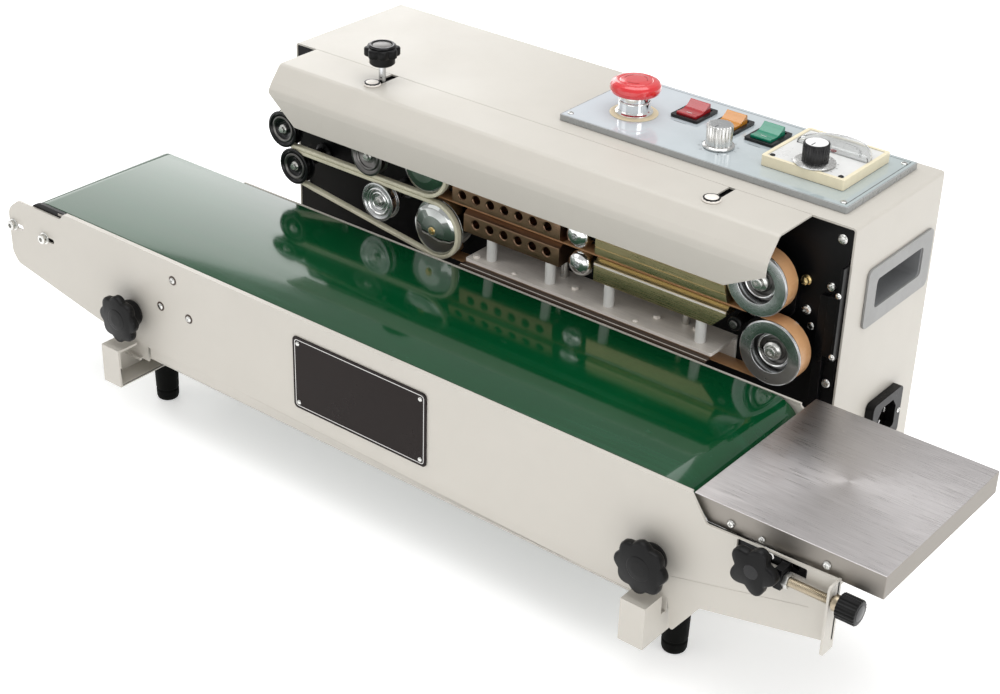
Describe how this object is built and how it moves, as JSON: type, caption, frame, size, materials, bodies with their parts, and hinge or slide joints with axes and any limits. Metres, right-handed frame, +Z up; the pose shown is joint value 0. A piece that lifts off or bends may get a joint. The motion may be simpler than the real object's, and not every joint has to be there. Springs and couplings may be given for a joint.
{
  "type": "continuous band sealer",
  "caption": "Bench band sealer: belt table beside an upright case, with heated and cooled bands, drive and guide wheels, a lift-off hood and a top control plate.",
  "frame": {"origin": "middle of the machine's overall length and depth, on the ground plane under the feet", "axes": "+X along the belt in the direction the bags travel, +Y from the operator towards the back of the case, +Z up"},
  "size_m": [0.8994, 0.377, 0.3352],
  "materials": {
    "paint": "fine warm light grey powder coat",
    "black_plate": "satin black enamel",
    "overlay": "pale blue-grey printed panel, thick edge",
    "chrome": "polished chrome plate",
    "steel": "turned bright steel",
    "stainless": "brushed stainless sheet",
    "copper_block": "bare copper alloy darkened by heat",
    "gold_block": "olive gold anodised aluminium",
    "alloy_shelf": "bead blasted light alloy",
    "seal_band": "tan fluoropolymer coated glass cloth",
    "guide_belt": "cream rubber toothed belt",
    "belt_green": "glossy green belt",
    "black_plastic": "moulded black plastic",
    "red_plastic": "glossy red plastic",
    "amber_plastic": "glossy amber plastic",
    "green_plastic": "glossy green plastic",
    "knob_alloy": "turned and knurled aluminium",
    "cream_plastic": "cream moulded plastic",
    "handle_grey": "mid grey moulded plastic",
    "rubber_foot": "black rubber",
    "motor_grey": "dark grey die casting",
    "pulley_black": "black hard plastic with a bright ring",
    "roller_alloy": "turned aluminium tube",
    "plate_black": "satin black plate, thin pale border"
  },
  "bodies": {
    "housing": {"housing_shell": "paint", "rear_cover": "paint", "chassis_plate": "black_plate", "control_plate": "overlay", "power_inlet": "black_plastic", "handle_right": "handle_grey", "handle_left": "handle_grey", "arm_left": "paint", "arm_right": "paint", "foot_front_left": "rubber_foot", "foot_front_right": "rubber_foot", "foot_rear_left": "rubber_foot", "foot_rear_right": "rubber_foot", "block_shelf": "alloy_shelf", "heater_block_lower": "copper_block", "heater_block_upper": "copper_block", "cooling_block_lower": "gold_block", "cooling_block_upper": "gold_block", "drive_motor": "motor_grey", "fan_housing": "black_plastic", "estop_base": "chrome", "switch_bank": "black_plastic", "temp_controller": "cream_plastic", "seal_band_lower": "seal_band", "seal_band_upper": "seal_band", "guide_belt_lower": "guide_belt", "guide_belt_upper": "guide_belt"},
    "table": {"table_frame": "paint", "conveyor_belt": "belt_green", "end_plate": "stainless", "nameplate": "plate_black"},
    "star_knob_left_body": {"star_knob_left": "black_plastic"},
    "star_knob_right_body": {"star_knob_right": "black_plastic"},
    "drive_roller_body": {"drive_roller": "roller_alloy"},
    "tension_carriage": {"tension_bracket": "steel"},
    "tension_roller_body": {"tension_roller": "roller_alloy"},
    "lock_knob_body": {"lock_knob": "black_plastic"},
    "tension_screw_body": {"tension_screw": "black_plastic"},
    "hood_body": {"hood": "paint"},
    "pressure_knob_body": {"pressure_knob": "black_plastic"},
    "estop_plunger": {"estop_stem": "red_plastic"},
    "estop_head": {"estop_button": "red_plastic"},
    "rocker_power_body": {"rocker_power": "red_plastic"},
    "rocker_fan_body": {"rocker_fan": "amber_plastic"},
    "rocker_heat_body": {"rocker_heat": "green_plastic"},
    "speed_knob_body": {"speed_knob": "knob_alloy"},
    "temp_knob_body": {"temp_knob": "black_plastic"},
    "fan_body": {"fan_rotor": "black_plastic"},
    "drive_lower": {"drive_wheel_lower": "steel", "drive_gear_lower": "steel"},
    "drive_upper": {"drive_wheel_upper": "steel", "drive_gear_upper": "steel"},
    "guide_lower": {"guide_wheel_lower": "chrome"},
    "guide_upper": {"guide_wheel_upper": "chrome"},
    "idler_lower_body": {"idler_lower": "steel"},
    "idler_upper_body": {"idler_upper": "steel"},
    "infeed_lower": {"infeed_pulley_lower": "pulley_black"},
    "infeed_upper": {"infeed_pulley_upper": "pulley_black"},
    "press_lower": {"press_wheel_lower": "chrome"},
    "press_upper": {"press_wheel_upper": "chrome"}
  },
  "joints": [
    {"name": "table_height", "type": "slide", "parent": "housing", "child": "table", "axis": [0, 0, 1], "range_m": [0, 0.02]},
    {"name": "star_knob_left_turn", "type": "hinge", "parent": "table", "child": "star_knob_left_body", "pos_m": [-0.2844, -0.1705, 0.107], "axis": [0, 1, 0], "range_deg": [-360, 360]},
    {"name": "star_knob_right_turn", "type": "hinge", "parent": "table", "child": "star_knob_right_body", "pos_m": [0.2721, -0.1705, 0.107], "axis": [0, 1, 0], "range_deg": [-360, 360]},
    {"name": "drive_roller_spin", "type": "hinge", "parent": "table", "child": "drive_roller_body", "pos_m": [-0.3989, -0.0835, 0.147], "axis": [0, 1, 0], "continuous": true},
    {"name": "tension_slide", "type": "slide", "parent": "table", "child": "tension_carriage", "axis": [1, 0, 0], "range_m": [-0.004, 0]},
    {"name": "tension_roller_spin", "type": "hinge", "parent": "tension_carriage", "child": "tension_roller_body", "pos_m": [0.2706, -0.0835, 0.147], "axis": [0, 1, 0], "continuous": true},
    {"name": "lock_knob_turn", "type": "hinge", "parent": "tension_carriage", "child": "lock_knob_body", "pos_m": [0.3626, -0.1765, 0.1483], "axis": [0, 1, 0], "range_deg": [-360, 360]},
    {"name": "tension_screw_turn", "type": "hinge", "parent": "table", "child": "tension_screw_body", "pos_m": [0.4366, -0.1695, 0.142], "axis": [1, 0, 0], "range_deg": [-1152.5, 0]},
    {"name": "hood_slide", "type": "slide", "parent": "housing", "child": "hood_body", "axis": [0, -1, 0], "range_m": [0, 0.03]},
    {"name": "pressure_knob_turn", "type": "hinge", "parent": "housing", "child": "pressure_knob_body", "pos_m": [-0.1634, 0.0295, 0.323], "axis": [0, 0, 1], "range_deg": [-720, 720]},
    {"name": "estop_press", "type": "slide", "parent": "housing", "child": "estop_plunger", "axis": [0, 0, -1], "range_m": [0, 0.004], "stiffness_N_per_m": 400},
    {"name": "estop_twist", "type": "hinge", "parent": "estop_plunger", "child": "estop_head", "pos_m": [0.0478, 0.1075, 0.328], "axis": [0, 0, 1], "range_deg": [0, 45]},
    {"name": "rocker_power_tilt", "type": "hinge", "parent": "housing", "child": "rocker_power_body", "pos_m": [0.0878, 0.1377, 0.299], "axis": [1, 0, 0], "range_deg": [-16, 0]},
    {"name": "rocker_fan_tilt", "type": "hinge", "parent": "housing", "child": "rocker_fan_body", "pos_m": [0.1238, 0.1377, 0.299], "axis": [1, 0, 0], "range_deg": [-16, 0]},
    {"name": "rocker_heat_tilt", "type": "hinge", "parent": "housing", "child": "rocker_heat_body", "pos_m": [0.1598, 0.1377, 0.299], "axis": [1, 0, 0], "range_deg": [-16, 0]},
    {"name": "speed_knob_turn", "type": "hinge", "parent": "housing", "child": "speed_knob_body", "pos_m": [0.1392, 0.0955, 0.315], "axis": [0, 0, 1], "range_deg": [-150, 150]},
    {"name": "temp_knob_turn", "type": "hinge", "parent": "housing", "child": "temp_knob_body", "pos_m": [0.2232, 0.1019, 0.323], "axis": [0, 0, 1], "range_deg": [-150, 150]},
    {"name": "fan_spin", "type": "hinge", "parent": "housing", "child": "fan_body", "pos_m": [0.0466, 0.1675, 0.211], "axis": [0, 1, 0], "continuous": true},
    {"name": "drive_spin", "type": "hinge", "parent": "housing", "child": "drive_lower", "pos_m": [0.2486, 0.0265, 0.18905], "axis": [0, 1, 0], "continuous": true},
    {"name": "drive_upper_spin", "type": "hinge", "parent": "housing", "child": "drive_upper", "pos_m": [0.2306, 0.0265, 0.24335], "axis": [0, 1, 0], "continuous": true},
    {"name": "guide_lower_spin", "type": "hinge", "parent": "housing", "child": "guide_lower", "pos_m": [-0.0854, 0.0265, 0.18895], "axis": [0, 1, 0], "continuous": true},
    {"name": "guide_upper_spin", "type": "hinge", "parent": "housing", "child": "guide_upper", "pos_m": [-0.0984, 0.0265, 0.24345], "axis": [0, 1, 0], "continuous": true},
    {"name": "idler_lower_spin", "type": "hinge", "parent": "housing", "child": "idler_lower_body", "pos_m": [-0.1489, 0.0265, 0.1964], "axis": [0, 1, 0], "continuous": true},
    {"name": "idler_upper_spin", "type": "hinge", "parent": "housing", "child": "idler_upper_body", "pos_m": [-0.1614, 0.0265, 0.236], "axis": [0, 1, 0], "continuous": true},
    {"name": "infeed_lower_spin", "type": "hinge", "parent": "housing", "child": "infeed_lower", "pos_m": [-0.2507, 0.0265, 0.2], "axis": [0, 1, 0], "continuous": true},
    {"name": "infeed_upper_spin", "type": "hinge", "parent": "housing", "child": "infeed_upper", "pos_m": [-0.2642, 0.0265, 0.2324], "axis": [0, 1, 0], "continuous": true},
    {"name": "press_lower_spin", "type": "hinge", "parent": "housing", "child": "press_lower", "pos_m": [0.0641, 0.0265, 0.20385], "axis": [0, 1, 0], "continuous": true},
    {"name": "press_upper_spin", "type": "hinge", "parent": "housing", "child": "press_upper", "pos_m": [0.0606, 0.0265, 0.22855], "axis": [0, 1, 0], "continuous": true}
  ],
  "couplings": [
    {"joint": "drive_upper_spin", "follows": "drive_spin", "ratio": -1},
    {"joint": "guide_lower_spin", "follows": "drive_spin", "ratio": 0.99628},
    {"joint": "guide_upper_spin", "follows": "drive_spin", "ratio": -0.99628},
    {"joint": "idler_lower_spin", "follows": "drive_spin", "ratio": 1.5704},
    {"joint": "idler_upper_spin", "follows": "drive_spin", "ratio": -1.5704},
    {"joint": "infeed_lower_spin", "follows": "drive_spin", "ratio": 1.7688},
    {"joint": "infeed_upper_spin", "follows": "drive_spin", "ratio": -1.7688},
    {"joint": "press_lower_spin", "follows": "drive_spin", "ratio": 2.2863},
    {"joint": "press_upper_spin", "follows": "drive_spin", "ratio": -2.2863},
    {"joint": "drive_roller_spin", "follows": "drive_spin", "ratio": 1.0573},
    {"joint": "tension_roller_spin", "follows": "drive_spin", "ratio": 1.0573},
    {"joint": "tension_screw_turn", "follows": "tension_slide", "rad_per_m": 5026.5}
  ]
}
